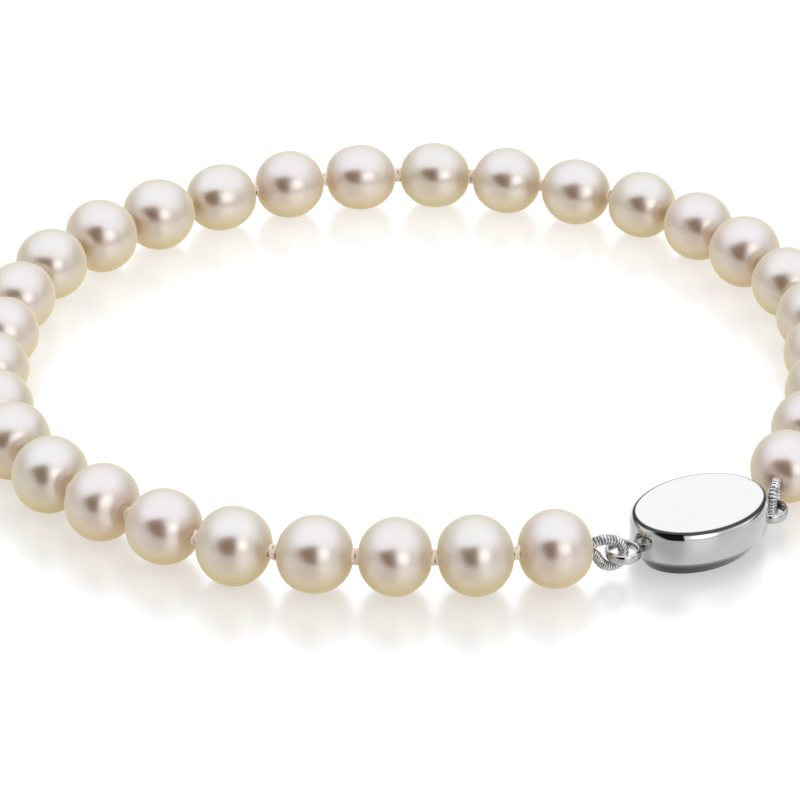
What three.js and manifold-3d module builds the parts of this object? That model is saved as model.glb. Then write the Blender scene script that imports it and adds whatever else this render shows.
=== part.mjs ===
// A knotted pearl bracelet, fastened and lying flat: near-round drilled pearls on one silk thread,
// closed by an oval box clasp. At each end the thread goes through a ring of the clasp inside a
// short sleeve of finely coiled wire. Millimetres, +Z up, the plane z = 0 is what it lies on.

import * as THREE from "three";
import { mergeVertices } from "three/addons/utils/BufferGeometryUtils.js";
import Module from "manifold-3d";

const wasm = await Module();
wasm.setup();

// The oval that the string of pearls follows, about its own centre.
const OVAL = { halfWidth: 31.2, halfDepth: 28.95, fullness: 2.13, turn: 2.3 };
const FIRST_PEARL_AT = -74.7;

// The next pearl is looked for within this angle, in radians, by halving it so many times.
const SEARCH = { reach: 0.6, halvings: 40 };

// Pearls in stringing order, starting beside the clasp. Each has its length along the drilled
// hole, its girth across it, and how far it lies outside (+) or inside (-) the oval.
const PEARLS = [
  { length: 5.20, girth: 5.65, out: 0.20 },
  { length: 5.35, girth: 5.75, out: 0.05 },
  { length: 5.20, girth: 5.55, out: -0.20 },
  { length: 5.40, girth: 5.55, out: -0.10 },
  { length: 5.35, girth: 5.65, out: 0.25 },
  { length: 5.35, girth: 5.45, out: -0.15 },
  { length: 5.05, girth: 5.65, out: -0.05 },
  { length: 5.15, girth: 5.65, out: 0.30 },
  { length: 5.20, girth: 5.80, out: 0.55 },
  { length: 5.20, girth: 5.45, out: 0.20 },
  { length: 5.20, girth: 5.45, out: 0.10 },
  { length: 5.20, girth: 5.45, out: -0.20 },
  { length: 5.30, girth: 5.50, out: 0.00 },
  { length: 5.35, girth: 5.55, out: 0.15 },
  { length: 5.45, girth: 5.80, out: -0.25 },
  { length: 5.60, girth: 5.65, out: -0.45 },
  { length: 5.60, girth: 5.30, out: -0.10 },
  { length: 5.50, girth: 5.40, out: 0.05 },
  { length: 5.65, girth: 5.30, out: 0.45 },
  { length: 5.60, girth: 5.30, out: 0.55 },
  { length: 5.45, girth: 5.30, out: 0.25 },
  { length: 5.50, girth: 5.25, out: 0.05 },
  { length: 5.25, girth: 5.35, out: 0.30 },
  { length: 5.40, girth: 5.40, out: 0.05 },
  { length: 5.35, girth: 5.65, out: -0.25 },
  { length: 5.30, girth: 5.45, out: 0.10 },
  { length: 5.30, girth: 5.45, out: 0.10 },
  { length: 5.30, girth: 5.45, out: -0.25 },
  { length: 5.35, girth: 5.45, out: -0.15 },
  { length: 5.35, girth: 5.45, out: -0.05 },
  { length: 5.40, girth: 5.30, out: 0.70 },
];
const KNOT_GAP = 0.33;
const DRILL_RADIUS = 0.4;

// A pearl's outline is a superellipse: 2 is an ellipse, and more is squarer.
const BARREL = 2.15;
const PEARL_SIDES = 12;
const PEARL_STEPS = 6;

const THREAD = { radius: 0.22, sides: 6, inset: 0.6 };
const KNOT = { radius: 0.55, shoulder: 0.42, halfLength: 0.12 };

// The clasp, about its own centre on z = 0, its long axis along its own X. The wall stands between
// a sloping underside and a narrow bevel round the flat top.
const CLASP = {
  x: 20.45, y: -23.15, turn: 33,
  halfLength: 5.375, halfWidth: 3.95, height: 3.85,
  footInset: 1.0, footHeight: 1.4, bevelInset: 0.28, bevelHeight: 0.4,
  sides: 48,
};

// The soldered rings are short bands on edge. `along` and `across` are in the clasp's own axes.
const RING = { radius: 1.2, wall: 0.4, height: 0.72, sides: 20, sectionSides: 8 };
const FIRST_RING = { along: -6.45, across: 0, z: 1.9 };
const LAST_RING = { along: 5.75, across: -0.7, z: 1.45 };

// A gimp sleeve starts and ends at its pearl's hole, one end above the other, and goes down
// through the ring. Each row of its route is a distance from the pearl towards the ring's centre,
// and a height.
const GIMP = { radius: 0.36, sides: 8, steps: 26 };
const FIRST_GIMP_ROUTE = [
  { away: 0.35, z: 3.25 },
  { away: 1.10, z: 3.35 },
  { away: 1.95, z: 3.10 },
  { away: 2.42, z: 2.40 },
  { away: 2.45, z: 1.60 },
  { away: 2.10, z: 0.98 },
  { away: 1.45, z: 0.88 },
  { away: 0.85, z: 1.35 },
  { away: 0.35, z: 2.15 },
];
const LAST_GIMP_ROUTE = [
  { away: 0.46, z: 3.10 },
  { away: 0.95, z: 3.02 },
  { away: 1.38, z: 2.55 },
  { away: 1.45, z: 1.80 },
  { away: 1.35, z: 1.05 },
  { away: 0.85, z: 0.58 },
  { away: 0.30, z: 0.72 },
  { away: 0.11, z: 1.35 },
  { away: 0.36, z: 2.14 },
];

const nacre = new THREE.MeshStandardMaterial({ color: 0xe9e4de, roughness: 0.22, metalness: 0 });
const silk = new THREE.MeshStandardMaterial({ color: 0xefe9d8, roughness: 0.8, metalness: 0 });
const silver = new THREE.MeshStandardMaterial({ color: 0xd9dadc, roughness: 0.08, metalness: 1 });
const gimpWire = new THREE.MeshStandardMaterial({ color: 0xd4d5d8, roughness: 0.2, metalness: 1 });

const up = new THREE.Vector3(0, 0, 1);

// Corners closer than this are one corner.
const SAME_PLACE = 1e-4;

function signedPower(value, power) {
  return Math.sign(value) * Math.abs(value) ** power;
}

function ovalPoint(angle) {
  const x = OVAL.halfWidth * signedPower(Math.cos(angle), 2 / OVAL.fullness);
  const y = OVAL.halfDepth * signedPower(Math.sin(angle), 2 / OVAL.fullness);
  return new THREE.Vector3(x, y, 0).applyAxisAngle(up, THREE.MathUtils.degToRad(OVAL.turn));
}

// Walks back along the oval from `angle` to the point that is `distance` away in a straight line.
function stepAlongOval(angle, distance) {
  const start = ovalPoint(angle);
  let far = angle - SEARCH.reach;
  let near = angle;
  for (let halving = 0; halving < SEARCH.halvings; halving++) {
    const middle = (far + near) / 2;
    if (ovalPoint(middle).distanceTo(start) > distance) {
      far = middle;
    } else {
      near = middle;
    }
  }
  return (far + near) / 2;
}

// Where each pearl's centre lies when the whole string rests on the plane.
function pearlCentres() {
  let angle = THREE.MathUtils.degToRad(FIRST_PEARL_AT);
  return PEARLS.map((pearl, index) => {
    if (index > 0) {
      const pitch = (PEARLS[index - 1].length + pearl.length) / 2 + KNOT_GAP;
      angle = stepAlongOval(angle, pitch);
    }
    const onOval = ovalPoint(angle);
    const outward = onOval.clone().normalize();
    const centre = onOval.addScaledVector(outward, pearl.out);
    centre.z = pearl.girth / 2;
    return centre;
  });
}

// Each hole points along the string, level with the plane.
function holeDirections(centres) {
  return centres.map((centre, index) => {
    const before = centres[Math.max(index - 1, 0)];
    const after = centres[Math.min(index + 1, centres.length - 1)];
    return after.clone().sub(before).setZ(0).normalize();
  });
}

function holeEnd(index, centres, directions, side) {
  const reach = side * PEARLS[index].length / 2;
  return centres[index].clone().addScaledVector(directions[index], reach);
}

// A drilled pearl, turned about Y: round the outside from one end of the hole to the other, and
// straight back along the hole.
function pearlGeometry(pearl) {
  const last = Math.acos((DRILL_RADIUS / (pearl.girth / 2)) ** (BARREL / 2));
  const profile = [];
  for (let step = 0; step <= PEARL_STEPS; step++) {
    const angle = last * (2 * step / PEARL_STEPS - 1);
    const radius = (pearl.girth / 2) * Math.cos(angle) ** (2 / BARREL);
    const along = (pearl.length / 2) * signedPower(Math.sin(angle), 2 / BARREL);
    profile.push(new THREE.Vector2(radius, along));
  }
  profile.push(profile[0].clone());
  return new THREE.LatheGeometry(profile, PEARL_SIDES);
}

function toSolid(geometry) {
  const bare = geometry.clone();
  bare.deleteAttribute("normal");
  bare.deleteAttribute("uv");
  const merged = mergeVertices(bare, SAME_PLACE);
  return new wasm.Manifold(new wasm.Mesh({
    numProp: 3,
    vertProperties: new Float32Array(merged.attributes.position.array),
    triVerts: new Uint32Array(merged.index.array),
  }));
}

function toGeometry(solid) {
  const mesh = solid.getMesh();
  const geometry = new THREE.BufferGeometry();
  geometry.setAttribute("position", new THREE.BufferAttribute(mesh.vertProperties, 3));
  geometry.setIndex(new THREE.BufferAttribute(mesh.triVerts, 1));
  geometry.computeVertexNormals();
  return geometry;
}

function joined(geometries) {
  const solids = geometries.map(toSolid);
  return toGeometry(solids.reduce((whole, next) => whole.add(next)));
}

// Turns a shape made along Y to lie along `direction`, and moves it to `place`.
function laid(geometry, direction, place) {
  const turn = new THREE.Quaternion().setFromUnitVectors(new THREE.Vector3(0, 1, 0), direction);
  return geometry.applyQuaternion(turn).translate(place.x, place.y, place.z);
}

function threadStretch(from, to) {
  const run = to.clone().sub(from);
  const stretch = new THREE.CylinderGeometry(THREAD.radius, THREAD.radius, run.length(), THREAD.sides);
  return laid(stretch, run.clone().normalize(), from.clone().add(to).multiplyScalar(0.5));
}

function knot(place, direction) {
  const profile = [
    new THREE.Vector2(0, -KNOT.halfLength),
    new THREE.Vector2(KNOT.shoulder, -KNOT.halfLength),
    new THREE.Vector2(KNOT.radius, 0),
    new THREE.Vector2(KNOT.shoulder, KNOT.halfLength),
    new THREE.Vector2(0, KNOT.halfLength),
  ];
  return laid(new THREE.LatheGeometry(profile, THREAD.sides), direction, place);
}

// The silk thread: straight through every pearl, with a knot in the middle of every gap. Its ends
// stay a little inside the outer holes of the first and last pearls.
function silkThread(centres, directions) {
  const last = centres.length - 1;
  const turns = [holeEnd(0, centres, directions, -1).addScaledVector(directions[0], THREAD.inset)];
  const pieces = [];
  for (let index = 0; index < last; index++) {
    const leaving = holeEnd(index, centres, directions, 1);
    const entering = holeEnd(index + 1, centres, directions, -1);
    const middle = leaving.add(entering).multiplyScalar(0.5);
    const direction = directions[index].clone().add(directions[index + 1]).normalize();
    pieces.push(knot(middle, direction));
    turns.push(middle);
  }
  turns.push(holeEnd(last, centres, directions, 1).addScaledVector(directions[last], -THREAD.inset));
  for (let index = 1; index < turns.length; index++) {
    pieces.push(threadStretch(turns[index - 1], turns[index]));
  }
  return joined(pieces);
}

// A round lathe whose short sides are pulled in, so that every inset keeps its width all round.
function claspBody() {
  const profile = [
    new THREE.Vector2(0, 0),
    new THREE.Vector2(CLASP.halfLength - CLASP.footInset, 0),
    new THREE.Vector2(CLASP.halfLength, CLASP.footHeight),
    new THREE.Vector2(CLASP.halfLength, CLASP.height - CLASP.bevelHeight),
    new THREE.Vector2(CLASP.halfLength - CLASP.bevelInset, CLASP.height),
    new THREE.Vector2(0, CLASP.height),
  ];
  const body = new THREE.LatheGeometry(profile, CLASP.sides).rotateX(Math.PI / 2);
  const narrowing = CLASP.halfLength - CLASP.halfWidth;
  const position = body.attributes.position;
  for (let index = 0; index < position.count; index++) {
    const radius = Math.hypot(position.getX(index), position.getY(index));
    if (radius > narrowing) {
      position.setY(index, position.getY(index) * (radius - narrowing) / radius);
    }
  }
  return body;
}

// A ring's section is a flat oval band, and its axis is upright.
function claspRing(ring) {
  const section = new THREE.EllipseCurve(RING.radius - RING.wall / 2, 0, RING.wall / 2, RING.height / 2);
  const band = new THREE.LatheGeometry(section.getPoints(RING.sectionSides), RING.sides).rotateX(Math.PI / 2);
  return band.translate(ring.along, ring.across, ring.z);
}

function claspToString(along, across, z) {
  const place = new THREE.Vector3(along, across, z);
  place.applyAxisAngle(up, THREE.MathUtils.degToRad(CLASP.turn));
  return place.add(new THREE.Vector3(CLASP.x, CLASP.y, 0));
}

// A sleeve of coiled wire as a round bar along its route between a pearl's hole and a ring.
function gimp(route, hole, ring) {
  const toRing = claspToString(ring.along, ring.across, 0).sub(hole).setZ(0).normalize();
  const points = route.map(({ away, z }) => hole.clone().addScaledVector(toRing, away).setZ(z));
  const round = new THREE.Shape().absarc(0, 0, GIMP.radius, 0, 2 * Math.PI);
  return new THREE.ExtrudeGeometry(round, {
    extrudePath: new THREE.CatmullRomCurve3(points),
    steps: GIMP.steps,
    curveSegments: GIMP.sides / 2, // an arc gets two sides from each
  });
}

function named(name, geometry, material) {
  const mesh = new THREE.Mesh(geometry, material);
  mesh.name = name;
  return mesh;
}

function buildBracelet() {
  const bracelet = new THREE.Group();
  const centres = pearlCentres();
  const directions = holeDirections(centres);
  const last = centres.length - 1;

  PEARLS.forEach((pearl, index) => {
    const name = `pearl_${String(index + 1).padStart(2, "0")}`;
    const mesh = named(name, pearlGeometry(pearl), nacre);
    mesh.quaternion.setFromUnitVectors(new THREE.Vector3(0, 1, 0), directions[index]);
    mesh.position.copy(centres[index]);
    bracelet.add(mesh);
  });
  bracelet.add(named("silk_thread", silkThread(centres, directions), silk));

  const claspGeometry = joined([claspBody(), claspRing(FIRST_RING), claspRing(LAST_RING)]);
  const clasp = named("clasp", claspGeometry, silver);
  clasp.position.set(CLASP.x, CLASP.y, 0);
  clasp.rotation.z = THREE.MathUtils.degToRad(CLASP.turn);
  bracelet.add(clasp);

  const firstHole = holeEnd(0, centres, directions, -1);
  const lastHole = holeEnd(last, centres, directions, 1);
  bracelet.add(named("gimp_first", gimp(FIRST_GIMP_ROUTE, firstHole, FIRST_RING), gimpWire));
  bracelet.add(named("gimp_last", gimp(LAST_GIMP_ROUTE, lastHole, LAST_RING), gimpWire));

  // The origin is the middle of the bracelet's outer box, on the plane.
  const middle = new THREE.Box3().setFromObject(bracelet, true).getCenter(new THREE.Vector3());
  bracelet.position.set(-middle.x, -middle.y, 0);
  bracelet.updateMatrixWorld(true);
  return bracelet;
}

export default buildBracelet();
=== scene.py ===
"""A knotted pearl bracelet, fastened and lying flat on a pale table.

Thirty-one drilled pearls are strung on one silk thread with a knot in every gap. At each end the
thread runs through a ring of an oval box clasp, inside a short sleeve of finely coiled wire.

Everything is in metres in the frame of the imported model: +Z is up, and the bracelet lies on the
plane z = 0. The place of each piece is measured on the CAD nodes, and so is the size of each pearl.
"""

import logging
import math
from collections.abc import Callable, Iterable
from contextlib import contextmanager
from dataclasses import dataclass, field
from enum import Enum

import bmesh
import bpy
from mathutils import Euler, Matrix, Vector


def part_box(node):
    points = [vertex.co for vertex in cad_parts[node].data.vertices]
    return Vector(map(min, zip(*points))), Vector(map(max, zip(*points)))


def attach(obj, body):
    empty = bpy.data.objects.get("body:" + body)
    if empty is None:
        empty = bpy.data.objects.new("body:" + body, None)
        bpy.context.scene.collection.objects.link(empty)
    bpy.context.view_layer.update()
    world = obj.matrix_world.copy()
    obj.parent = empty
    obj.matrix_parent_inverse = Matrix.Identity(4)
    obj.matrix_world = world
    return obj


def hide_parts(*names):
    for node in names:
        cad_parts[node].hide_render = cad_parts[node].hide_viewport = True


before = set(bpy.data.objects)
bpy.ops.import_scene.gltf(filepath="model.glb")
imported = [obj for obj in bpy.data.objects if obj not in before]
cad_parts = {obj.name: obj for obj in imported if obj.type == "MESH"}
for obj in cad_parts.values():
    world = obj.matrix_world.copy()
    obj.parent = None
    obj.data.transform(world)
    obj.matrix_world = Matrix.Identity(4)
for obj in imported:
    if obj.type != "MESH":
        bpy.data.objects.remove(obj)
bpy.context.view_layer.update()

MM = 0.001
UP = Vector((0.0, 0.0, 1.0))
ORIGIN = (0.0, 0.0, 0.0)
FLAT = Vector((1.0, 1.0, 0.0))
MERGE = 1e-7
ROUTE_STEPS = 12
CORD_ROUNDING = 3
SAME_HEIGHT = 0.001 * MM

Rgb = tuple[float, float, float]
Span = tuple[float, float]

# Where most of a noise pattern lies, between 0 and 1.
MOST: Span = (0.3, 0.7)

log = logging.getLogger("pearl_bracelet")


# ------------------------------------------------------------
# The bench: modelling steps that several pieces share
# ------------------------------------------------------------


def clear_bench() -> None:
    """Deselect everything, so that an operator meets only what is added or chosen next."""
    bpy.ops.object.select_all(action="DESELECT")


def pick_up(*parts: bpy.types.Object) -> None:
    """Select only these parts, the first one active.

    Args:
        parts: the objects to select.
    """
    clear_bench()
    for part in parts:
        part.select_set(True)
    bpy.context.view_layer.objects.active = parts[0]


@contextmanager
def editing(part: bpy.types.Object) -> Iterable[None]:
    """Hold one part in edit mode, with all of it selected at the start.

    Args:
        part: the mesh object to edit.

    Returns:
        A context in which the edit-mode operators act on the part.
    """
    pick_up(part)
    bpy.ops.object.mode_set(mode="EDIT")
    bpy.ops.mesh.select_all(action="SELECT")
    try:
        yield
    finally:
        bpy.ops.object.mode_set(mode="OBJECT")


def choose_points(part: bpy.types.Object, wanted: Callable[[Vector], bool]) -> None:
    """Select, in edit mode, the vertices at wanted places and what lies wholly between them.

    Args:
        part: the mesh object in edit mode.
        wanted: says whether the place of a vertex is wanted.
    """
    bpy.ops.mesh.select_mode(type="VERT")
    bpy.ops.mesh.select_all(action="DESELECT")
    mesh = bmesh.from_edit_mesh(part.data)
    for vertex in mesh.verts:
        vertex.select_set(wanted(vertex.co))
    mesh.select_flush(True)
    bmesh.update_edit_mesh(part.data)


def choose_edges(part: bpy.types.Object, wanted: Callable[[Vector, Vector], bool]) -> None:
    """Select, in edit mode, the edges whose two ends are at wanted places.

    Args:
        part: the mesh object in edit mode.
        wanted: says whether an edge is wanted, from the places of its two ends.
    """
    bpy.ops.mesh.select_mode(type="EDGE")
    bpy.ops.mesh.select_all(action="DESELECT")
    mesh = bmesh.from_edit_mesh(part.data)
    for edge in mesh.edges:
        edge.select_set(wanted(edge.verts[0].co, edge.verts[1].co))
    bmesh.update_edit_mesh(part.data)


def face_outwards() -> None:
    """Merge doubles and turn every face of the part in edit mode outwards."""
    bpy.ops.mesh.select_all(action="SELECT")
    bpy.ops.mesh.remove_doubles(threshold=MERGE)
    bpy.ops.mesh.normals_make_consistent(inside=False)


def raise_outline(height: float, widening: Vector, middle: Vector) -> None:
    """Extrude the selected face upwards and resize it about its own middle.

    Args:
        height: how far up the new face lies.
        widening: the factors along X, Y and Z.
        middle: the middle of the face before it is raised.
    """
    bpy.ops.mesh.extrude_region_move(TRANSFORM_OT_translate={"value": (0.0, 0.0, height)})
    raised = middle + UP * height
    bpy.ops.transform.resize(value=tuple(widening), center_override=tuple(raised))


def finish_with(part: bpy.types.Object, kind: str, **settings: object) -> None:
    """Give a part one modifier and apply it.

    Args:
        part: the object that gets the modifier.
        kind: the modifier's type.
        settings: the modifier's own settings.
    """
    pick_up(part)
    modifier = part.modifiers.new(kind.lower(), kind)
    for name, value in settings.items():
        setattr(modifier, name, value)
    bpy.ops.object.modifier_apply(modifier=modifier.name)


def lay_down(part: bpy.types.Object, place: Matrix) -> None:
    """Move a part to its place and apply the place to its mesh.

    Args:
        part: the object to move.
        place: the matrix that takes it there.
    """
    part.matrix_world = place @ part.matrix_world
    pick_up(part)
    bpy.ops.object.transform_apply(location=True, rotation=True, scale=True)


def smooth(part: bpy.types.Object, angle_deg: float) -> None:
    """Shade a part smooth, and keep the edges that are sharper than the angle."""
    pick_up(part)
    bpy.ops.object.shade_smooth_by_angle(angle=math.radians(angle_deg))


def join(parts: list[bpy.types.Object]) -> bpy.types.Object:
    """Join several parts into the first one.

    Args:
        parts: the mesh objects to join.

    Returns:
        The first one, which holds them all.
    """
    pick_up(*parts)
    bpy.ops.object.join()
    return parts[0]


def copy_of(part: bpy.types.Object) -> bpy.types.Object:
    """Copy a part, with a mesh of its own.

    Args:
        part: the mesh object to copy.

    Returns:
        The copy.
    """
    twin = part.copy()
    twin.data = part.data.copy()
    bpy.context.scene.collection.objects.link(twin)
    return twin


def discard(part: bpy.types.Object) -> None:
    """Take a helper or a pattern piece out of the scene."""
    bpy.data.objects.remove(part, do_unlink=True)


def place_along(direction: Vector, place: Vector, roll_deg: float = 0.0) -> Matrix:
    """Turn the Z axis of a part to a direction and move the part to its place.

    Args:
        direction: where the part's Z axis ends up.
        place: where the part's origin ends up.
        roll_deg: a turn about Z that comes first.

    Returns:
        The matrix that does so.
    """
    turn = direction.to_track_quat("Z", "Y").to_matrix().to_4x4()
    return Matrix.Translation(place) @ turn @ Matrix.Rotation(math.radians(roll_deg), 4, "Z")


def route_curve(name: str, points: list[Vector], thickness: float = 0.0) -> bpy.types.Object:
    """Lay a smooth curve through points.

    Args:
        name: the name of the new object.
        points: the places that the curve goes through.
        thickness: the radius of the round cord that it carries, or 0 for a bare curve.

    Returns:
        The curve object.
    """
    clear_bench()
    bpy.ops.curve.primitive_bezier_curve_add(location=ORIGIN)
    route = bpy.context.object
    route.name = name
    spline = route.data.splines[0]
    spline.bezier_points.add(len(points) - len(spline.bezier_points))
    for knot, point in zip(spline.bezier_points, points):
        knot.co = point
        knot.handle_left_type = knot.handle_right_type = "AUTO"
    route.data.dimensions = "3D"
    route.data.resolution_u = ROUTE_STEPS
    route.data.twist_mode = "MINIMUM"
    route.data.bevel_depth = thickness
    route.data.bevel_resolution = CORD_ROUNDING
    route.data.use_fill_caps = thickness > 0.0
    return route


def turned_to_mesh(route: bpy.types.Object) -> bpy.types.Object:
    """Turn a curve into a mesh.

    Args:
        route: the curve object.

    Returns:
        The mesh object that takes its place.
    """
    pick_up(route)
    bpy.ops.object.convert(target="MESH")
    return bpy.context.object


def hand_in(piece: bpy.types.Object, name: str, material: bpy.types.Material, slot: str,
            *nodes: str) -> None:
    """Name and dress a finished piece, and tie it to the frame.

    Args:
        piece: the finished mesh object.
        name: the name of the piece.
        material: its finish.
        slot: the material slot that it belongs to; not used.
        nodes: the CAD nodes that it stands for.
    """
    piece.name = name
    piece.data.name = name
    piece.data.materials.clear()
    piece.data.materials.append(material)
    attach(piece, "root")
    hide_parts(*nodes)
    size = piece.dimensions / MM
    log.info("%s: %d faces, %.2f x %.2f x %.2f mm", name, len(piece.data.polygons), *size)


# ------------------------------------------------------------
# Finishes
# ------------------------------------------------------------


class Graph:
    """Adds nodes to one node tree and joins them."""

    def __init__(self, tree: bpy.types.NodeTree) -> None:
        """Empty the tree."""
        self.tree = tree
        self.tree.nodes.clear()

    def add(self, kind: str, inputs: dict[str | int, object] | None = None,
            **settings: object) -> bpy.types.Node:
        """Add one node.

        Args:
            kind: the node's type.
            inputs: a value, or the socket that feeds it, for each input by name or number.
            settings: the node's own settings.

        Returns:
            The new node.
        """
        node = self.tree.nodes.new(kind)
        for name, value in settings.items():
            setattr(node, name, value)
        for key, value in (inputs or {}).items():
            if isinstance(value, bpy.types.NodeSocket):
                self.tree.links.new(value, node.inputs[key])
            else:
                node.inputs[key].default_value = value
        return node

    def combine(self, kind: str, first: object, second: object) -> bpy.types.NodeSocket:
        """Join two values by a Math node of this kind."""
        return self.add("ShaderNodeMath", {0: first, 1: second}, operation=kind).outputs[0]

    def remap(self, value: bpy.types.NodeSocket, span: Span, to: Span = (0.0, 1.0),
              kind: str = "LINEAR") -> bpy.types.NodeSocket:
        """Map one range onto another, and hold the ends beyond it.

        Args:
            value: the socket to map.
            span: the values that become the two ends of `to`.
            to: the new range.
            kind: how the values between are spaced.

        Returns:
            The mapped value.
        """
        inputs = {
            "Value": value,
            "From Min": span[0],
            "From Max": span[1],
            "To Min": to[0],
            "To Max": to[1],
        }
        return self.add("ShaderNodeMapRange", inputs, interpolation_type=kind).outputs["Result"]

    def ease(self, value: bpy.types.NodeSocket, span: Span, to: Span = (0.0, 1.0)) -> bpy.types.NodeSocket:
        """Map one range onto another, gently at both ends."""
        return self.remap(value, span, to, "SMOOTHSTEP")

    def split(self, where: bpy.types.NodeSocket) -> bpy.types.NodeOutputs:
        """Split coordinates into X, Y and Z."""
        return self.add("ShaderNodeSeparateXYZ", {0: where}).outputs

    def blend(self, amount: object, first: object, second: object,
              kind: str = "MIX") -> bpy.types.NodeSocket:
        """Mix two colours.

        Args:
            amount: how much of the second colour.
            first: a colour or its socket.
            second: a colour or its socket.
            kind: the way that they are mixed.

        Returns:
            The mixed colour.
        """
        inputs = {"Factor": amount, 6: with_alpha(first), 7: with_alpha(second)}
        return self.add("ShaderNodeMix", inputs, data_type="RGBA", blend_type=kind).outputs[2]

    def noise(self, where: bpy.types.NodeSocket, grain: float, detail: float = 2.0,
              warp: float = 0.0) -> bpy.types.NodeSocket:
        """Add cloudy noise.

        Args:
            where: the coordinates.
            grain: the size of one cloud in metres.
            detail: how many finer layers it has.
            warp: how much it is stirred.

        Returns:
            The noise, about 0.5.
        """
        inputs = {"Vector": where, "Scale": 1.0 / grain, "Detail": detail, "Distortion": warp}
        return self.add("ShaderNodeTexNoise", inputs).outputs["Fac"]

    def relief(self, height: bpy.types.NodeSocket, depth: float, strength: float,
               under: bpy.types.NodeSocket | None = None) -> bpy.types.NodeSocket:
        """Turn a height into a bumped normal.

        Args:
            height: the height, from 0 to 1.
            depth: the real depth in metres of a height of 1.
            strength: how much of the bump is used.
            under: a bumped normal that this one lies on.

        Returns:
            The normal.
        """
        inputs = {"Height": height, "Distance": depth, "Strength": strength}
        if under is not None:
            inputs["Normal"] = under
        return self.add("ShaderNodeBump", inputs).outputs["Normal"]


def with_alpha(colour: object) -> object:
    """Add an alpha of 1 to a bare colour, and leave a socket as it is."""
    return (*colour, 1.0) if isinstance(colour, tuple) and len(colour) == 3 else colour


def new_surface(name: str) -> tuple[bpy.types.Material, Graph, bpy.types.NodeSocket]:
    """Start a material.

    Args:
        name: the material's name.

    Returns:
        The material, its graph, and the Object coordinates.
    """
    material = bpy.data.materials.new(name)
    material.use_nodes = True
    graph = Graph(material.node_tree)
    where = graph.add("ShaderNodeTexCoord").outputs["Object"]
    return material, graph, where


def close_surface(graph: Graph, inputs: dict[str, object]) -> None:
    """End a material in one principled shader with these inputs."""
    shader = graph.add("ShaderNodeBsdfPrincipled", inputs)
    graph.add("ShaderNodeOutputMaterial", {"Surface": shader.outputs["BSDF"]})


class Overtone(Enum):
    """What matched pearls differ in: the clear tint, the deeper tint, and the colour of a painted glow that
    they give off all over.
    """

    ROSE = ((0.522, 0.521, 0.525), (0.514, 0.506, 0.506), (0.138, 0.058, 0.026))
    CREAM = ((0.521, 0.525, 0.522), (0.512, 0.510, 0.500), (0.130, 0.060, 0.018))
    IVORY = ((0.522, 0.524, 0.526), (0.513, 0.510, 0.506), (0.132, 0.058, 0.020))
    OLIVE = ((0.519, 0.524, 0.522), (0.510, 0.511, 0.501), (0.127, 0.063, 0.020))


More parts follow.
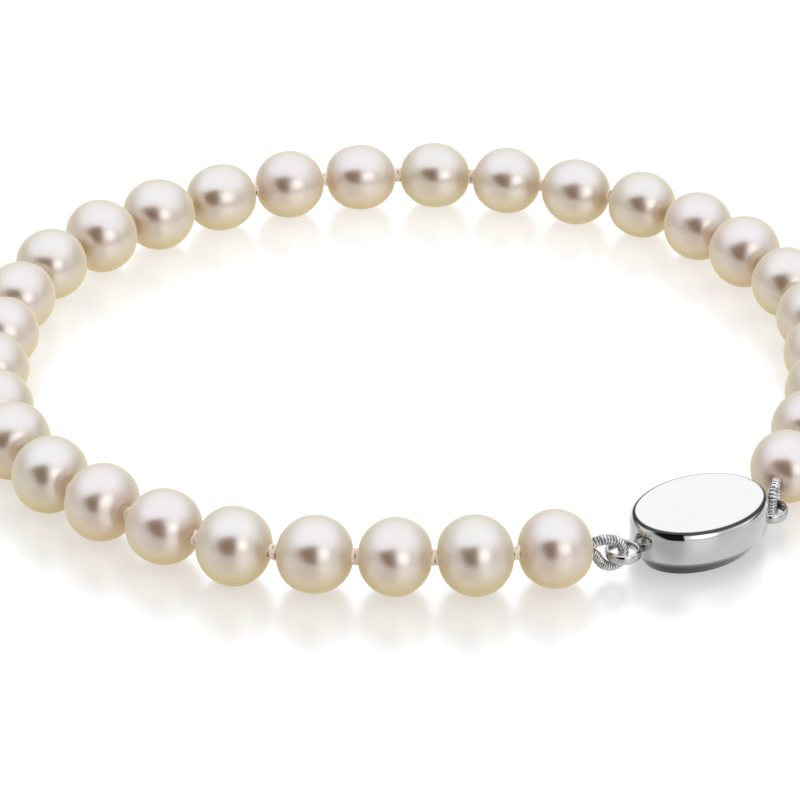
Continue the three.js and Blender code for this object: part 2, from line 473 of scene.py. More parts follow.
@dataclass(frozen=True)
class Nacre:
    """Polished nacre: a satin lustre over a cloudy body, with a warmer rim, painted warm light on the
    underside, a painted cool top and a painted glow.

    A span says where its effect begins and where it is full: on `slant`, 0 faces the eye and 1 is the
    outline, and on `height`, 1 faces up and -1 faces down.
    """

    overtone: Overtone
    lustre: float = 0.96
    rim_lustre: float = 0.45
    rim_slant: Span = (0.22, 0.90)
    rim: Rgb = (0.76, 0.73, 0.48)
    roughness: Span = (0.285, 0.305)
    side_haze: float = 0.20
    side_slant: Span = (0.0, 0.55)
    # painted light: the downward side is made warmer, for light scattered up from the table
    underside: Rgb = (0.97, 0.89, 0.63)
    painted_warmth_height: Span = (0.45, -0.65)
    # painted light: the upward side is made cooler and lighter, for the white light above reflected in it
    painted_cool_top: Rgb = (0.99, 1.03, 1.11)
    painted_cool_top_height: Span = (0.50, 0.85)
    cloud: float = 3.2 * MM
    cloud_span: Span = (0.35, 0.68)
    swirl: float = 1.1 * MM
    swirl_tint: Rgb = (0.53, 0.525, 0.52)
    swirl_share: float = 0.22
    ripple_depth: float = 0.008 * MM
    ripple_strength: float = 0.5
    terrace: float = 0.16 * MM
    terrace_depth: float = 0.00018 * MM
    terrace_strength: float = 0.2
    sheen: float = 0.60
    sheen_roughness: float = 0.60
    sheen_tint: Rgb = (0.74, 0.71, 0.38)
    ior: float = 1.53

    def material(self) -> bpy.types.Material:
        """Build the nodes.

        Returns:
            The material.
        """
        # a painted glow: the pearl gives off this light all over, though it is no lamp
        painted_glow = self.overtone.value[2]
        material, graph, where = new_surface(f"nacre_{self.overtone.name.lower()}")
        slant = graph.add("ShaderNodeLayerWeight", {"Blend": 0.5}).outputs["Facing"]
        satin = graph.remap(graph.noise(where, self.swirl, 3.0), MOST, self.roughness)
        side = graph.ease(slant, self.side_slant, (0.0, self.side_haze))
        ripples = graph.relief(graph.noise(where, self.swirl, 1.0), self.ripple_depth, self.ripple_strength)
        steps = graph.noise(where, self.terrace, 3.0, 0.3)
        close_surface(graph, {
            "Base Color": self.body(graph, where),
            "Metallic": graph.remap(slant, self.rim_slant, (self.lustre, self.rim_lustre)),
            "Roughness": graph.combine("ADD", satin, side),
            "Specular Tint": with_alpha(self.rim),
            "IOR": self.ior,
            "Sheen Weight": self.sheen,
            "Sheen Roughness": self.sheen_roughness,
            "Sheen Tint": with_alpha(self.sheen_tint),
            "Emission Color": with_alpha(painted_glow),
            "Emission Strength": 1.0,
            "Normal": graph.relief(steps, self.terrace_depth, self.terrace_strength, ripples),
        })
        return material

    def body(self, graph: Graph, where: bpy.types.NodeSocket) -> bpy.types.NodeSocket:
        """Colour the body: two cloudy tints and swirls, then painted warm light on the underside and a
        painted cooler top.

        Args:
            graph: the material's graph.
            where: the Object coordinates.

        Returns:
            The colour.
        """
        clear, deep, _ = self.overtone.value
        clouds = graph.ease(graph.noise(where, self.cloud, 3.0, 0.4), self.cloud_span)
        swirls = graph.remap(graph.noise(where, self.swirl, 4.0, 1.2), MOST, (0.0, self.swirl_share))
        body = graph.blend(swirls, graph.blend(clouds, clear, deep), self.swirl_tint)
        height = graph.split(graph.add("ShaderNodeTexCoord").outputs["Normal"])["Z"]
        # painted warm light on the side that faces down
        body = graph.blend(graph.ease(height, self.painted_warmth_height), body, self.underside, "MULTIPLY")
        # painted cooler, lighter top where the light from above falls
        return graph.blend(graph.ease(height, self.painted_cool_top_height), body, self.painted_cool_top, "MULTIPLY")


@dataclass(frozen=True)
class Silk:
    """Twisted silk thread: creamy, with a soft sheen and fine slanting strands."""

    colour: Rgb = (0.95, 0.87, 0.78)
    shade: Rgb = (0.86, 0.73, 0.63)
    strand: float = 0.09 * MM
    strand_depth: float = 0.02 * MM
    strand_strength: float = 0.7
    waviness: float = 1.5
    fluff: float = 0.27 * MM
    roughness: Span = (0.62, 0.8)
    sheen: float = 0.35
    sheen_roughness: float = 0.4

    def material(self) -> bpy.types.Material:
        """Build the nodes.

        Returns:
            The material.
        """
        material, graph, where = new_surface("twisted_silk")
        strands = graph.add("ShaderNodeTexWave", {
            "Vector": where,
            "Scale": 1.0 / (self.strand * 2.0 * math.pi),
            "Distortion": self.waviness,
            "Detail": 2.0,
        }, bands_direction="DIAGONAL").outputs["Fac"]
        fluff = graph.noise(where, self.fluff, 3.0)
        close_surface(graph, {
            "Base Color": graph.blend(graph.combine("MULTIPLY", strands, fluff), self.shade, self.colour),
            "Roughness": graph.remap(fluff, MOST, self.roughness),
            "Sheen Weight": self.sheen,
            "Sheen Roughness": self.sheen_roughness,
            "Normal": graph.relief(strands, self.strand_depth, self.strand_strength),
        })
        return material


@dataclass(frozen=True)
class PolishedSilver:
    """Silver polished to a mirror, with painted shade on the slope and the lower wall, and a painted dark
    reflection on the edge.

    The heights are above the table: where the painted shade of the slope ends, where that of the wall
    ends, and where the band of painted dark reflection on the edge lies.
    """

    colour: Rgb = (0.615, 0.612, 0.610)
    haze: Rgb = (0.575, 0.572, 0.570)
    haze_grain: float = 1.9 * MM
    haze_share: float = 0.35
    roughness: Span = (0.030, 0.075)
    buffing: float = 0.35 * MM
    buffing_depth: float = 0.0003 * MM
    wave: float = 2.4 * MM
    wave_depth: float = 0.006 * MM
    relief_strength: float = 0.5
    # painted shade: the dark colour that the slope and the lower wall are mixed towards, for the shaded
    # table that they mirror
    shade: Rgb = (0.03, 0.03, 0.032)
    slope_height: Span = (0.82 * MM, 1.42 * MM)
    slope_painted_shade: float = 0.94
    # painted shade on the wall below the rounded edge, fading out between these heights
    wall_height: Span = (3.30 * MM, 3.42 * MM)
    wall_painted_shade: float = 0.24
    # a painted dark reflection: a near-black band on the rounded edge, between the two spans below, for the
    # dark surroundings that the edge mirrors
    painted_edge_reflection: Rgb = (0.02, 0.02, 0.021)
    edge_foot: Span = (3.56 * MM, 3.64 * MM)
    edge_top: Span = (3.80 * MM, 3.76 * MM)
    painted_edge_reflection_share: float = 0.95

    def material(self) -> bpy.types.Material:
        """Build the nodes.

        Returns:
            The material.
        """
        material, graph, where = new_surface("polished_silver")
        marks = graph.noise(where, self.buffing, 5.0, 0.8)
        waves = graph.relief(graph.noise(where, self.wave, 1.0), self.wave_depth, self.relief_strength)
        close_surface(graph, {
            "Base Color": self.painted_shade_and_reflection(graph, where),
            "Metallic": 1.0,
            "Roughness": graph.remap(marks, MOST, self.roughness),
            "Normal": graph.relief(marks, self.buffing_depth, self.relief_strength, waves),
        })
        return material

    def painted_shade_and_reflection(self, graph: Graph, where: bpy.types.NodeSocket) -> bpy.types.NodeSocket:
        """Colour the silver: a random haze, then painted shade and a painted dark reflection by height.

        Args:
            graph: the material's graph.
            where: the Object coordinates.

        Returns:
            The colour.
        """
        haze = graph.remap(graph.noise(where, self.haze_grain, 3.0, 0.5), MOST, (0.0, self.haze_share))
        colour = graph.blend(haze, self.colour, self.haze)
        height = graph.split(where)["Z"]
        # painted shade on the slope under the wall, for the shaded table beneath it
        slope = graph.ease(height, self.slope_height, (self.slope_painted_shade, 0.0))
        colour = graph.blend(slope, colour, self.shade)
        # fainter painted shade on the wall below the rounded edge
        wall = graph.remap(height, self.wall_height, (self.wall_painted_shade, 0.0))
        colour = graph.blend(wall, colour, self.shade)
        # the painted dark reflection in a band on the rounded edge
        over_foot = graph.ease(height, self.edge_foot)
        under_top = graph.ease(height, self.edge_top, (0.0, self.painted_edge_reflection_share))
        return graph.blend(graph.combine("MULTIPLY", over_foot, under_top), colour, self.painted_edge_reflection)


@dataclass(frozen=True)
class CoiledWire:
    """Fine silvered wire, tarnished in places and bright elsewhere."""

    colour: Rgb = (0.64, 0.64, 0.645)
    tarnish: Rgb = (0.26, 0.26, 0.265)
    stain: float = 0.45 * MM
    stain_span: Span = (0.42, 0.72)
    roughness: Span = (0.14, 0.3)
    drawing: float = 0.05 * MM
    drawing_depth: float = 0.002 * MM
    drawing_strength: float = 0.4

    def material(self) -> bpy.types.Material:
        """Build the nodes.

        Returns:
            The material.
        """
        material, graph, where = new_surface("coiled_wire")
        stains = graph.remap(graph.noise(where, self.stain, 3.0), self.stain_span)
        drawn = graph.noise(where, self.drawing, 3.0)
        close_surface(graph, {
            "Base Color": graph.blend(stains, self.colour, self.tarnish),
            "Metallic": 1.0,
            "Roughness": graph.remap(stains, (0.0, 1.0), self.roughness),
            "Normal": graph.relief(drawn, self.drawing_depth, self.drawing_strength),
        })
        return material


# ------------------------------------------------------------
# The string as packed
# ------------------------------------------------------------


@dataclass(frozen=True)
class StrungPearl:
    """One pearl of the frame: its node, its middle, its hole's direction, its length and girth."""

    node: str
    middle: Vector
    direction: Vector
    length: float
    girth: float

    def hole_end(self, side: int) -> Vector:
        """Give the mouth of the hole towards the end (+1) or the start (-1) of the string."""
        return self.middle + self.direction * (side * self.length / 2.0)


class Strand:
    """All the pearls in stringing order, measured on the CAD nodes."""

    def __init__(self) -> None:
        """Measure every pearl node."""
        nodes = sorted(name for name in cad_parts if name.startswith("pearl_"))
        boxes = [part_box(node) for node in nodes]
        middles = [(low + high) / 2.0 for low, high in boxes]
        self.pearls: list[StrungPearl] = []
        for index, node in enumerate(nodes):
            before = middles[max(index - 1, 0)]
            after = middles[min(index + 1, len(nodes) - 1)]
            run = (after - before) * FLAT
            direction = run.normalized()
            reach = [vertex.co.dot(direction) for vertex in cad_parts[node].data.vertices]
            low, high = boxes[index]
            pearl = StrungPearl(node, middles[index], direction, max(reach) - min(reach), high.z - low.z)
            self.pearls.append(pearl)

    def knots(self) -> list[tuple[Vector, Vector]]:
        """Find the knot in each gap.

        Returns:
            The place and the direction of each knot, in stringing order.
        """
        places = []
        for pearl, following in zip(self.pearls, self.pearls[1:]):
            middle = (pearl.hole_end(1) + following.hole_end(-1)) / 2.0
            places.append((middle, (pearl.direction + following.direction).normalized()))
        return places


# ------------------------------------------------------------
# Sub-assemblies
# ------------------------------------------------------------


@dataclass
class Pearls:
    """The drilled pearls. The blank is one unit in length and girth, with its hole along Z."""

    strand: Strand
    segments: int = 64
    rings: int = 46
    barrel: float = 0.10
    bore: float = 0.0714
    lip: float = 0.012
    lip_steps: int = 3
    mouth_slack: float = 1.05
    unevenness: float = 0.16 * MM
    uneven_grain: float = 3.4 * MM
    dimple: float = 0.022 * MM
    dimple_grain: float = 1.3 * MM
    roll_step_deg: float = 67.0
    finish_step: int = 7
    finish_run: int = 3
    crease_deg: float = 50.0
    finishes: list[bpy.types.Material] = field(default_factory=list)

    def model_blank(self) -> bpy.types.Object:
        """Model one drilled pearl: a fuller sphere, opened at its poles, with a rounded mouth.

        Returns:
            The blank, one unit long and one unit across.
        """
        clear_bench()
        bpy.ops.mesh.primitive_uv_sphere_add(segments=self.segments, ring_count=self.rings, radius=0.5)
        blank = bpy.context.object
        finish_with(blank, "CAST", cast_type="CYLINDER", factor=self.barrel, size=0.5)
        with editing(blank):
            choose_points(blank, lambda place: math.hypot(place.x, place.y) < self.bore / 3.0)
            bpy.ops.mesh.delete(type="VERT")
            bpy.ops.mesh.select_all(action="DESELECT")
            bpy.ops.mesh.select_non_manifold()
            mouth = [v.co for v in bmesh.from_edit_mesh(blank.data).verts if v.select]
            narrowing = self.bore / math.hypot(mouth[0].x, mouth[0].y)
            bpy.ops.transform.resize(value=(narrowing, narrowing, 1.0), center_override=ORIGIN)
            bpy.ops.mesh.bridge_edge_loops()
            choose_edges(blank, self.round_the_mouth)
            bpy.ops.mesh.bevel(offset=self.lip, segments=self.lip_steps, affect="EDGES")
            bpy.ops.mesh.select_all(action="SELECT")
            bpy.ops.mesh.normals_make_consistent(inside=False)
        return blank

    def round_the_mouth(self, first: Vector, second: Vector) -> bool:
        """Say whether an edge goes round a mouth of the hole.

        Args:
            first: the place of one end of the edge.
            second: the place of its other end.

        Returns:
            Whether both ends are beside the hole, at the same mouth.
        """
        near = self.mouth_slack * self.bore
        same_mouth = first.z * second.z > 0.0
        return same_mouth and all(math.hypot(end.x, end.y) < near for end in (first, second))

    def clouds(self, name: str, grain: float) -> bpy.types.Texture:
        """Make a cloud pattern that pushes the surface in and out.

        Args:
            name: the pattern's name.
            grain: the size of its clouds.

        Returns:
            The pattern.
        """
        pattern = bpy.data.textures.new(name, "CLOUDS")
        pattern.noise_scale = grain
        pattern.noise_depth = 1
        return pattern

    def build(self) -> None:
        """Copy the blank to every place on the string, and make each copy uneven in its own way."""
        blank = self.model_blank()
        swell = self.clouds("pearl_swell", self.uneven_grain)
        dent = self.clouds("pearl_dimple", self.dimple_grain)
        for index, pearl in enumerate(self.strand.pearls):
            piece = copy_of(blank)
            size = Matrix.Diagonal((pearl.girth, pearl.girth, pearl.length, 1.0))
            roll = self.roll_step_deg * index
            lay_down(piece, place_along(pearl.direction, pearl.middle, roll) @ size)
            finish_with(piece, "DISPLACE", texture=swell, texture_coords="GLOBAL", strength=self.unevenness)
            finish_with(piece, "DISPLACE", texture=dent, texture_coords="GLOBAL", strength=self.dimple)
            smooth(piece, self.crease_deg)
            turn = index * self.finish_step + index // self.finish_run
            finish = self.finishes[turn % len(self.finishes)]
            hand_in(piece, f"{pearl.node}_nacre", finish, "pearl_nacre", pearl.node)
        discard(blank)


@dataclass
class Clasp:
    """The oval box clasp with its two soldered rings, about its own middle, long axis along X."""

    finish: bpy.types.Material
    outline_points: int = 160
    half_length: float = 5.375 * MM
    half_width: float = 3.95 * MM
    height: float = 3.85 * MM
    foot_inset: float = 1.0 * MM
    foot_height: float = 1.35 * MM
    foot_bend: Span = (0.50, 0.52)
    ledge: float = 0.07 * MM
    ledge_round: float = 0.03 * MM
    edge_inset: float = 0.38 * MM
    edge_height: float = 0.52 * MM
    edge_round: float = 0.26 * MM
    round_steps: int = 6
    ledge_steps: int = 2
    crown: float = 0.05 * MM
    crown_shares: tuple[float, ...] = (0.35, 0.7, 0.9)
    outer_share: float = 0.8
    top_slack: float = 0.01 * MM
    ring_radius: float = 1.32 * MM
    ring_wall: float = 0.40 * MM
    ring_height: float = 0.72 * MM
    first_ring: tuple[float, float, float] = (-6.57 * MM, 0.0, 1.9 * MM)
    last_ring: tuple[float, float, float] = (5.85 * MM, -0.7 * MM, 1.45 * MM)
    ring_segments: tuple[int, int] = (72, 24)
    solder: float = 0.42 * MM
    solder_shape: tuple[float, float, float] = (0.45, 1.25, 0.8)
    crease_deg: float = 32.0

    def __post_init__(self) -> None:
        """Find the clasp's middle and its long axis on the flat top of the CAD node."""
        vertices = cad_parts["clasp"].data.vertices
        top = max(vertex.co.z for vertex in vertices)
        flat = [vertex.co.copy() for vertex in vertices if vertex.co.z > top - self.top_slack]
        middle = (Vector(map(min, zip(*flat))) + Vector(map(max, zip(*flat)))) / 2.0
        tip = max(flat, key=lambda place: (place - middle).length)
        along = (tip - middle) * FLAT
        if along.x < 0.0:
            along = -along
        turn = Matrix.Rotation(math.atan2(along.y, along.x), 4, "Z")
        self.place = Matrix.Translation(middle * FLAT) @ turn

    def outline(self, inset: float) -> Vector:
        """Give the half sizes of the oval at an inset from the wall."""
        return Vector((self.half_length - inset, self.half_width - inset, 1.0))

    def model_body(self) -> bpy.types.Object:
        """Model the box: a sloping underside, a fine seam, the wall, a rounded edge, a crowned top.

        Returns:
            The body, on z = 0.
        """
        levels = self.levels()
        clear_bench()
        bpy.ops.mesh.primitive_circle_add(vertices=self.outline_points, radius=1.0, fill_type="NGON")
        body = bpy.context.object
        with editing(body):
            bpy.ops.transform.resize(value=tuple(self.outline(levels[0][0])), center_override=ORIGIN)
            middle = Vector(ORIGIN)
            for (inset, z), (next_inset, next_z) in zip(levels, levels[1:]):
                now, then = self.outline(inset), self.outline(next_inset)
                widening = Vector((then.x / now.x, then.y / now.y, 1.0))
                raise_outline(next_z - z, widening, middle)
                middle = UP * next_z
            edge = (self.height - self.edge_height, self.height)
            choose_edges(body, lambda first, second: self.runs_round(first, second, edge))
            bpy.ops.mesh.bevel(offset=self.edge_round, segments=self.round_steps, affect="EDGES")
            choose_edges(body, lambda first, second: self.runs_round(first, second, (self.foot_height,)))
            bpy.ops.mesh.bevel(offset=self.ledge_round, segments=self.ledge_steps, affect="EDGES")
            face_outwards()
        return body

    def levels(self) -> list[tuple[float, float]]:
        """List the ovals from the foot to the top.

        Returns:
            The inset from the wall and the height of each.
        """
        levels = [
            (self.foot_inset, 0.0),
            (self.foot_inset * self.foot_bend[0], self.foot_height * self.foot_bend[1]),
            (self.ledge, self.foot_height),
            (0.0, self.foot_height),
            (0.0, self.height - self.edge_height),
            (self.edge_inset, self.height),
        ]
        for share in self.crown_shares:
            inset = self.edge_inset + share * (self.half_width - self.edge_inset)
            rise = self.crown * (1.0 - (1.0 - share) ** 2)
            levels.append((inset, self.height + rise - self.crown))
        return levels

    def runs_round(self, first: Vector, second: Vector, heights: tuple[float, ...]) -> bool:
        """Say whether an edge goes round the outside of the body at one of the heights.

        Args:
            first: the place of one end of the edge.
            second: the place of its other end.
            heights: the heights that count.

        Returns:
            Whether both ends lie at such a height and not on the crown.
        """
        level = abs(first.z - second.z) <= SAME_HEIGHT
        outside = math.hypot(first.x, first.y) >= self.half_width * self.outer_share
        return level and outside and any(abs(first.z - height) < SAME_HEIGHT for height in heights)

    def model_ring(self, place: tuple[float, float, float]) -> bpy.types.Object:
        """Model a ring as an oval band on edge.

        Args:
            place: the ring's middle, in the clasp's own frame.

        Returns:
            The ring.
        """
        clear_bench()
        bpy.ops.mesh.primitive_torus_add(
            major_radius=self.ring_radius - self.ring_wall / 2.0, minor_radius=self.ring_wall / 2.0,
            major_segments=self.ring_segments[0], minor_segments=self.ring_segments[1], location=place)
        ring = bpy.context.object
        ring.scale.z = self.ring_height / self.ring_wall
        bpy.ops.object.transform_apply(location=True, rotation=True, scale=True)
        return ring

    def model_solder(self, ring: tuple[float, float, float]) -> bpy.types.Object:
        """Model the solder that fills the corner between a ring and the wall.

        Args:
            ring: the ring's middle, in the clasp's own frame.

        Returns:
            The solder, a small flattened bead.
        """
        x, y, z = ring
        reach = self.half_length * math.sqrt(1.0 - (y / self.half_width) ** 2)
        clear_bench()
        bpy.ops.mesh.primitive_uv_sphere_add(
            segments=32, ring_count=16, radius=self.solder, location=(math.copysign(reach, x), y, z))
        bead = bpy.context.object
        bead.scale = self.solder_shape
        bpy.ops.object.transform_apply(location=True, rotation=True, scale=True)
        return bead

    def build(self) -> None:
        """Solder the rings to the body and lay the clasp in its place."""
        body = self.model_body()
        for ring in (self.first_ring, self.last_ring):
            for part in (self.model_ring(ring), self.model_solder(ring)):
                finish_with(body, "BOOLEAN", object=part, operation="UNION", solver="EXACT")
                discard(part)
        lay_down(body, self.place)
        smooth(body, self.crease_deg)
        hand_in(body, "clasp_oval_box", self.finish, "polished_silver", "clasp")

    def ring_middle(self, ring: tuple[float, float, float]) -> Vector:
        """Give a ring's middle in the bracelet's frame."""
        return self.place @ Vector(ring)


@dataclass
class GimpSleeve:
    """A sleeve of coiled wire from a pearl's hole, down through a ring of the clasp, and back."""

    node: str
    hole: Vector
    ring: Vector
    route: list[tuple[float, float]]
    finish: bpy.types.Material
    wire: float = 0.105 * MM
    radius: float = 0.40 * MM
    pitch: float = 0.215 * MM
    wire_sides: int = 7
    turn_steps: int = 16
    crease_deg: float = 60.0

    def points(self) -> list[Vector]:
        """Find the route's places: away from the hole towards the ring's middle, at each height.

        Returns:
            The places in the bracelet's frame.
        """
        towards = ((self.ring - self.hole) * FLAT).normalized()
        below = self.hole * FLAT
        return [below + towards * (away * MM) + UP * (z * MM) for away, z in self.route]

    def model_coil(self, length: float) -> bpy.types.Object:
        """Wind a straight coil along Z.

        Args:
            length: how long the coil is.

        Returns:
            The coil, with closed wire ends.
        """
        turns = round(length / self.pitch)
        clear_bench()
        bpy.ops.mesh.primitive_circle_add(
            vertices=self.wire_sides, radius=self.wire, location=(self.radius - self.wire, 0.0, 0.0),
            rotation=(math.pi / 2.0, 0.0, 0.0))
        coil = bpy.context.object
        bpy.ops.object.transform_apply(location=True, rotation=True, scale=True)
        finish_with(coil, "SCREW", axis="Z", screw_offset=length / turns, iterations=turns,
                    steps=self.turn_steps, render_steps=self.turn_steps, use_merge_vertices=False)
        with editing(coil):
            bpy.ops.mesh.fill_holes(sides=self.wire_sides)
            face_outwards()
        return coil

    def build(self) -> None:
        """Wind the coil and bend it along the route."""
        route = route_curve(f"{self.node}_route", self.points())
        coil = self.model_coil(route.data.splines[0].calc_length())
        finish_with(coil, "CURVE", object=route, deform_axis="POS_Z")
        discard(route)
        smooth(coil, self.crease_deg)
        hand_in(coil, f"{self.node}_coil", self.finish, "coiled_gimp", self.node)


@dataclass
class SilkThread:
    """The thread: through every pearl, knotted in every gap, and round inside both sleeves."""

    strand: Strand
    first_sleeve: GimpSleeve
    last_sleeve: GimpSleeve
    finish: bpy.types.Material
    radius: float = 0.18 * MM
    wrap_radius: float = 0.45 * MM
    wrap_thickness: float = 0.165 * MM
    wrap_tilt_deg: float = 26.0
    wrap_shift: float = 0.02 * MM
    wrap_segments: tuple[int, int] = (28, 12)
    knot_turn_deg: float = 51.0
    straight_run: float = 1.2 * MM
    crease_deg: float = 60.0

    def model_knot(self) -> bpy.types.Object:
        """Model one knot: two wraps of thread, tilted against each other, with Z along the string.

        Returns:
            The knot.
        """
        wraps = []
        for side in (-1.0, 1.0):
            tilt = math.radians(side * self.wrap_tilt_deg)
            clear_bench()
            bpy.ops.mesh.primitive_torus_add(
                major_radius=self.wrap_radius, minor_radius=self.wrap_thickness,
                major_segments=self.wrap_segments[0], minor_segments=self.wrap_segments[1],
                location=(0.0, 0.0, side * self.wrap_shift), rotation=(tilt, tilt / 2.0, 0.0))
            bpy.ops.object.transform_apply(location=True, rotation=True, scale=True)
            wraps.append(bpy.context.object)
        return join(wraps)

    def route(self) -> list[Vector]:
        """List the places that the thread goes through, from one sleeve's end to the other's.

        Returns:
            The places in order.
        """
        pearls = self.strand.pearls
        start, end = pearls[0], pearls[-1]
        run_in = start.direction * self.straight_run
        run_out = end.direction * self.straight_run
        points = list(reversed(self.first_sleeve.points()))
        points += [start.hole_end(-1), start.hole_end(-1) + run_in, start.hole_end(1)]
        for pearl, following in zip(pearls, pearls[1:]):
            points += [(pearl.hole_end(1) + following.hole_end(-1)) / 2.0, following.middle]
        points += [end.hole_end(1) - run_out, end.hole_end(1)]
        return points + self.last_sleeve.points()

    def build(self) -> None:
        """Lay the thread and tie a knot in every gap."""
        parts = [turned_to_mesh(route_curve("silk_thread_route", self.route(), self.radius))]
        pattern = self.model_knot()
        for index, (place, direction) in enumerate(self.strand.knots()):
            knot = copy_of(pattern)
            lay_down(knot, place_along(direction, place, self.knot_turn_deg * index))
            parts.append(knot)
        discard(pattern)
        thread = join(parts)
        smooth(thread, self.crease_deg)
        hand_in(thread, "silk_thread_knotted", self.finish, "silk", "silk_thread")


# ------------------------------------------------------------
# The table, the light and the camera
# ------------------------------------------------------------


@dataclass(frozen=True)
class Divide:
    """A plane through the tent's middle: the side that counts as 1, and half its soft edge's width."""

    side: tuple[float, float, float]
    softness: float

    def across(self, graph: Graph, towards: bpy.types.NodeSocket) -> bpy.types.NodeSocket:
        """Divide the tent.

        Args:
            graph: the tent's graph.
            towards: the direction that is looked in.

        Returns:
            0 on one side, 1 on the other, and a soft edge between.
        """
        normal = Vector(self.side).normalized()
        reach = graph.add("ShaderNodeVectorMath", {0: towards, 1: normal}, operation="DOT_PRODUCT")
        return graph.ease(reach.outputs["Value"], (-self.softness, self.softness))


@dataclass(frozen=True)
class LightTent:
    """A tent of white light with a dark gap in its upper left and a lamp beside it, both in front.

    Behind the bracelet the tent is greyer close to the table, and it is dimmer round the left and the
    right. Its directions are X right, -Y front and Z up, as parts of a step of length 1.
    """

    ceiling: Rgb = (1.50, 1.53, 1.56)
    back_wall: Rgb = (1.50, 1.51, 1.53)
    back_wall_side: Divide = Divide((0.0, 1.0, -1.5), 0.15)
    front_wall: Rgb = (1.02, 1.02, 1.01)
    front_wall_side: Divide = Divide((0.0, -1.4, -1.0), 0.08)
    gap: Rgb = (0.014, 0.010, 0.008)
    gap_left: Divide = Divide((-1.0, -0.1, 0.0), 0.03)
    gap_above: Divide = Divide((0.640, -0.300, 0.700), 0.16)
    low_band: Rgb = (0.30, 0.30, 0.30)
    low_band_height: Span = (0.30, 0.18)
    low_band_depth: Span = (-0.15, 0.20)
    dim_height: Span = (0.68, 0.46)
    dim_left: Span = (-0.35, -0.75)
    left_dimming: float = 0.30
    dim_right: Span = (0.45, 0.80)
    right_dimming: float = 0.22
    lamp: float = 1.15
    lamp_way: tuple[float, float, float] = (0.484, -0.758, 0.4375)
    lamp_angles_deg: Span = (21.0, 9.0)
    backdrop: Rgb = (1.0, 1.0, 1.0)

    def hang(self) -> None:
        """Light the bracelet from the tent, and show the plain backdrop behind it."""
        world = bpy.data.worlds.new("light_tent")
        bpy.context.scene.world = world
        world.use_nodes = True
        graph = Graph(world.node_tree)
        towards = graph.add("ShaderNodeTexCoord").outputs["Generated"]
        light = self.dimmed(graph, towards, self.walls(graph, towards))
        light = graph.blend(1.0, light, self.lamp_glow(graph, towards), "ADD")
        tent = graph.add("ShaderNodeBackground", {"Color": light}).outputs[0]
        plain = graph.add("ShaderNodeBackground", {"Color": with_alpha(self.backdrop)}).outputs[0]
        seen = graph.add("ShaderNodeLightPath").outputs["Is Camera Ray"]
        whole = graph.add("ShaderNodeMixShader", {0: seen, 1: tent, 2: plain}).outputs[0]
        graph.add("ShaderNodeOutputWorld", {"Surface": whole})

    def walls(self, graph: Graph, towards: bpy.types.NodeSocket) -> bpy.types.NodeSocket:
        """Colour the ceiling, the back wall and the front wall, and cut the gap.

        Args:
            graph: the tent's graph.
            towards: the direction that is looked in.

        Returns:
            The light.
        """
        front = self.front_wall_side.across(graph, towards)
        back = self.back_wall_side.across(graph, towards)
        left = self.gap_left.across(graph, towards)
        above = self.gap_above.across(graph, towards)
        light = graph.blend(back, self.ceiling, self.back_wall)
        light = graph.blend(front, light, self.front_wall)
        dark = graph.combine("MULTIPLY", graph.combine("MULTIPLY", front, left), above)
        return graph.blend(dark, light, self.gap)

    def dimmed(self, graph: Graph, towards: bpy.types.NodeSocket,
               light: bpy.types.NodeSocket) -> bpy.types.NodeSocket:
        """Add the grey band behind the bracelet, and dim the left and the right.

        Args:
            graph: the tent's graph.
            towards: the direction that is looked in.
            light: the light of the walls.

        Returns:
            The light.
        """
        way = graph.split(towards)
        low = graph.ease(way["Z"], self.low_band_height)
        behind = graph.ease(way["Y"], self.low_band_depth)
        light = graph.blend(graph.combine("MULTIPLY", low, behind), light, self.low_band)
        waist = graph.ease(way["Z"], self.dim_height)
        on_left = graph.remap(way["X"], self.dim_left, (0.0, self.left_dimming))
        on_right = graph.remap(way["X"], self.dim_right, (0.0, self.right_dimming))
        dimming = graph.combine("MULTIPLY", waist, graph.combine("ADD", on_left, on_right))
        return graph.blend(dimming, light, self.gap)

    def lamp_glow(self, graph: Graph, towards: bpy.types.NodeSocket) -> bpy.types.NodeSocket:
        """Hang the lamp.

        Args:
            graph: the tent's graph.
            towards: the direction that is looked in.

        Returns:
            The lamp's light, full in its middle and none beyond its edge.
        """
        way = Vector(self.lamp_way).normalized()
        aligned = graph.add("ShaderNodeVectorMath", {0: towards, 1: way}, operation="DOT_PRODUCT")
        edge, middle = (math.cos(math.radians(angle)) for angle in self.lamp_angles_deg)
        glow = graph.ease(aligned.outputs["Value"], (edge, middle), (0.0, self.lamp))
        white = {"Red": glow, "Green": glow, "Blue": glow}
        return graph.add("ShaderNodeCombineColor", white).outputs["Color"]


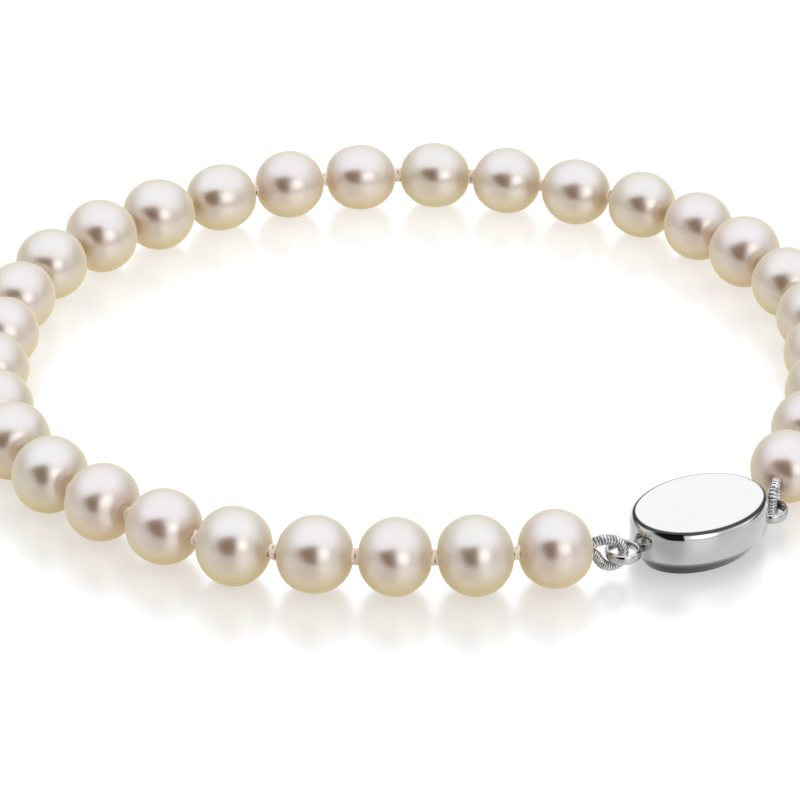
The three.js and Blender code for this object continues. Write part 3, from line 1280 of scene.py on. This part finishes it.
@dataclass(frozen=True)
class Table:
    """A glossy white table, lit a little from below, and more so towards the back."""

    size: float = 6.0
    colour: Rgb = (0.27, 0.27, 0.27)
    veil: Rgb = (0.25, 0.25, 0.25)
    veil_grain: float = 40.0 * MM
    veil_share: float = 0.02
    roughness: float = 0.30
    ior: float = 3.5
    front_glow: Rgb = (0.49, 0.49, 0.49)
    back_glow: Rgb = (0.59, 0.59, 0.59)
    glow_depth: Span = (-22.0 * MM, 26.0 * MM)

    def lay(self) -> None:
        """Lay the table under the bracelet."""
        clear_bench()
        bpy.ops.mesh.primitive_plane_add(size=self.size, location=ORIGIN)
        table = bpy.context.object
        table.name = "table_top"
        material, graph, where = new_surface("glossy_white")
        back = graph.remap(graph.split(where)["Y"], self.glow_depth)
        veil = graph.remap(graph.noise(where, self.veil_grain, 2.0), MOST, (0.0, self.veil_share))
        close_surface(graph, {
            "Base Color": graph.blend(veil, self.colour, self.veil),
            "Roughness": self.roughness,
            "IOR": self.ior,
            "Emission Color": graph.blend(back, self.front_glow, self.back_glow),
            "Emission Strength": 1.0,
        })
        table.data.materials.append(material)


@dataclass(frozen=True)
class Camera:
    """The camera, in front of the bracelet and above it."""

    elevation_deg: float = 30.24
    distance: float = 0.31362
    focal_length: float = 190.69
    sensor_width: float = 36.0
    aim: tuple[float, float, float] = (-0.572 * MM, -7.324 * MM, 2.75 * MM)
    nearest: float = 1.0 * MM
    furthest: float = 50.0

    def place(self) -> None:
        """Put the camera in its place and point it at its aim."""
        elevation = math.radians(self.elevation_deg)
        back = Vector((0.0, -math.cos(elevation), math.sin(elevation))) * self.distance
        clear_bench()
        bpy.ops.object.camera_add(
            location=Vector(self.aim) + back, rotation=Euler((math.pi / 2.0 - elevation, 0.0, 0.0)))
        camera = bpy.context.object
        camera.name = "camera"
        camera.data.lens = self.focal_length
        camera.data.sensor_width = self.sensor_width
        camera.data.clip_start = self.nearest
        camera.data.clip_end = self.furthest
        bpy.context.scene.camera = camera


# How far the sleeves reach from the hole of their pearl towards the ring, and how high, in mm.
FIRST_SLEEVE_ROUTE = [
    (0.06, 2.98), (0.45, 3.10), (1.10, 3.12), (1.85, 2.88), (2.30, 2.30), (2.32, 1.60),
    (1.98, 1.06), (1.35, 0.92), (0.80, 1.25), (0.38, 1.90), (0.05, 2.30),
]
LAST_SLEEVE_ROUTE = [
    (0.08, 2.92), (0.45, 2.92), (0.90, 2.74), (1.25, 2.28), (1.35, 1.65), (1.25, 1.02),
    (0.85, 0.62), (0.38, 0.74), (0.18, 1.30), (0.18, 1.90), (0.05, 2.25),
]


def main() -> None:
    """Build the bracelet and its surroundings, and note the size of the result."""
    logging.basicConfig(level=logging.INFO, format="%(name)s: %(message)s")
    Table().lay()
    LightTent().hang()
    Camera().place()
    bpy.context.scene.view_settings.view_transform = "Standard"
    strand = Strand()
    nacres = [Nacre(overtone).material() for overtone in Overtone]
    Pearls(strand, finishes=nacres).build()
    clasp = Clasp(PolishedSilver().material())
    clasp.build()
    wire = CoiledWire().material()
    first = GimpSleeve("gimp_first", strand.pearls[0].hole_end(-1), clasp.ring_middle(clasp.first_ring),
                       FIRST_SLEEVE_ROUTE, wire)
    last = GimpSleeve("gimp_last", strand.pearls[-1].hole_end(1), clasp.ring_middle(clasp.last_ring),
                      LAST_SLEEVE_ROUTE, wire)
    first.build()
    last.build()
    SilkThread(strand, first, last, Silk().material()).build()


if __name__ == "__main__":
    main()
